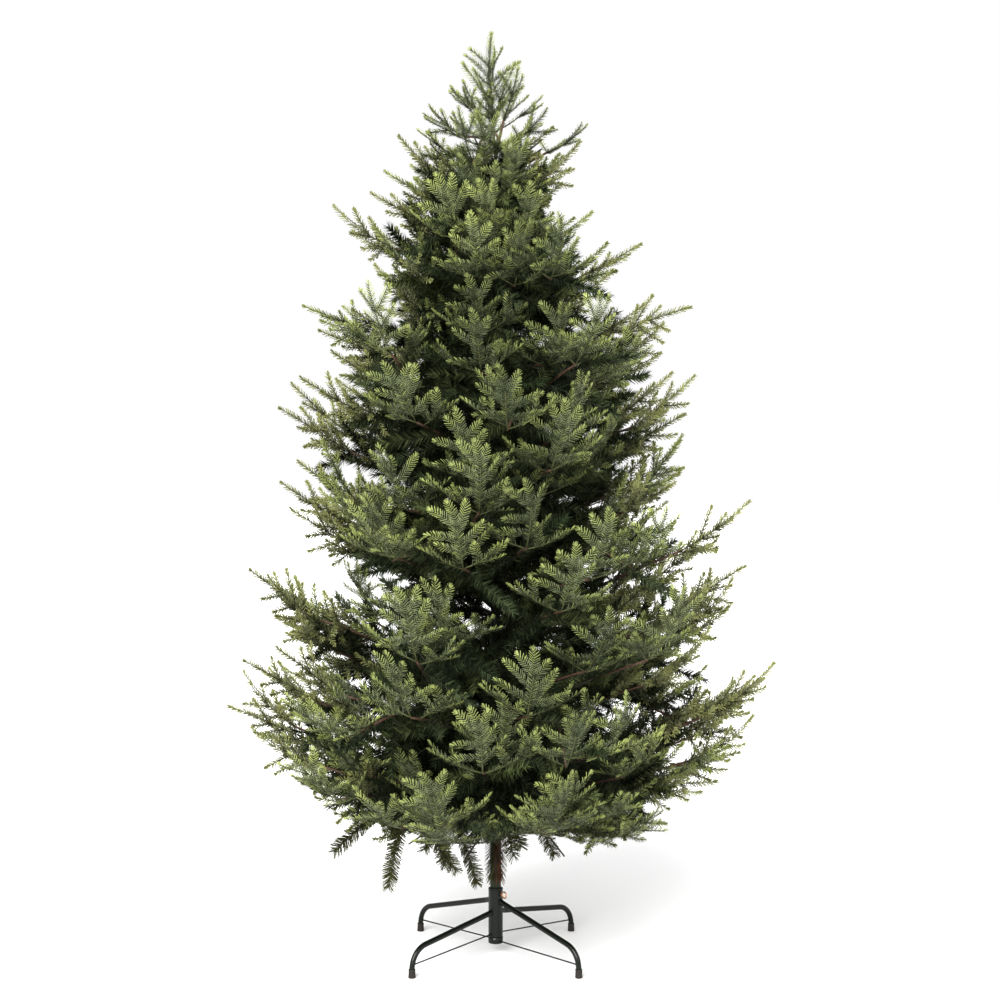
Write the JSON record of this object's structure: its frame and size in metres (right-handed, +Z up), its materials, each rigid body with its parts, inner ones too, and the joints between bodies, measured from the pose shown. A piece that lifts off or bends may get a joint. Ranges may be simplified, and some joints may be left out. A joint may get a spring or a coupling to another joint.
{
  "type": "artificial spruce tree",
  "caption": "Undecorated artificial spruce: tiers of feathery green sprays on wire boughs around a steel pole, standing in a low bent-tube stand with rubber feet.",
  "frame": {"origin": "on the floor under the pole's axis, midway between the feet", "axes": "+Z up the pole; -Y towards the side the picture shows, +X to that side's right"},
  "size_m": [1.2291, 1.2055, 2.1],
  "materials": {
    "needles": null,
    "bark_wrap": "steel wire wrapped in brown film tape, matt",
    "pole_green": "dark green powder coat, satin",
    "stand_steel": "dark green powder coat, satin",
    "black_plastic": "black moulded plastic, satin",
    "rubber": "black rubber, matt",
    "yellow_zinc": "copper-coloured plated steel, glossy"
  },
  "bodies": {
    "root": {"bough_2_1": "bark_wrap", "bough_2_2": "bark_wrap", "bough_2_3": "bark_wrap", "bough_2_4": "bark_wrap", "bough_2_5": "bark_wrap", "bough_2_6": "bark_wrap", "bough_3_1": "bark_wrap", "bough_3_2": "bark_wrap", "bough_3_3": "bark_wrap", "bough_3_4": "bark_wrap", "bough_3_5": "bark_wrap", "brace_back_left": "stand_steel", "brace_back_right": "stand_steel", "brace_front_left": "stand_steel", "brace_front_right": "stand_steel", "brace_hub": "stand_steel", "eye_bolt": "yellow_zinc", "foliage_1_1": "needles", "foliage_1_2": "needles", "foliage_1_3": "needles", "foliage_1_4": "needles", "foliage_1_5": "needles", "foliage_1_6": "needles", "foliage_2_1": "needles", "foliage_2_2": "needles", "foliage_2_3": "needles", "foliage_2_4": "needles", "foliage_2_5": "needles", "foliage_2_6": "needles", "foliage_3_1": "needles", "foliage_3_2": "needles", "foliage_3_3": "needles", "foliage_3_4": "needles", "foliage_3_5": "needles", "foliage_4_1": "needles", "foliage_4_2": "needles", "foliage_4_3": "needles", "foliage_4_4": "needles", "foliage_4_5": "needles", "foliage_5_1": "needles", "foliage_5_2": "needles", "foliage_5_3": "needles", "foliage_5_4": "needles", "foliage_6_1": "needles", "foliage_6_2": "needles", "foliage_6_3": "needles", "foliage_6_4": "needles", "foliage_foot": "needles", "foliage_leader": "needles", "foot_back_left": "rubber", "foot_back_right": "rubber", "foot_front_left": "rubber", "foot_front_right": "rubber", "leg_back_left": "stand_steel", "leg_back_right": "stand_steel", "leg_front_left": "stand_steel", "leg_front_right": "stand_steel", "socket_rim": "black_plastic", "stand_socket": "stand_steel", "trunk_pole": "pole_green"}
  },
  "joints": []
}
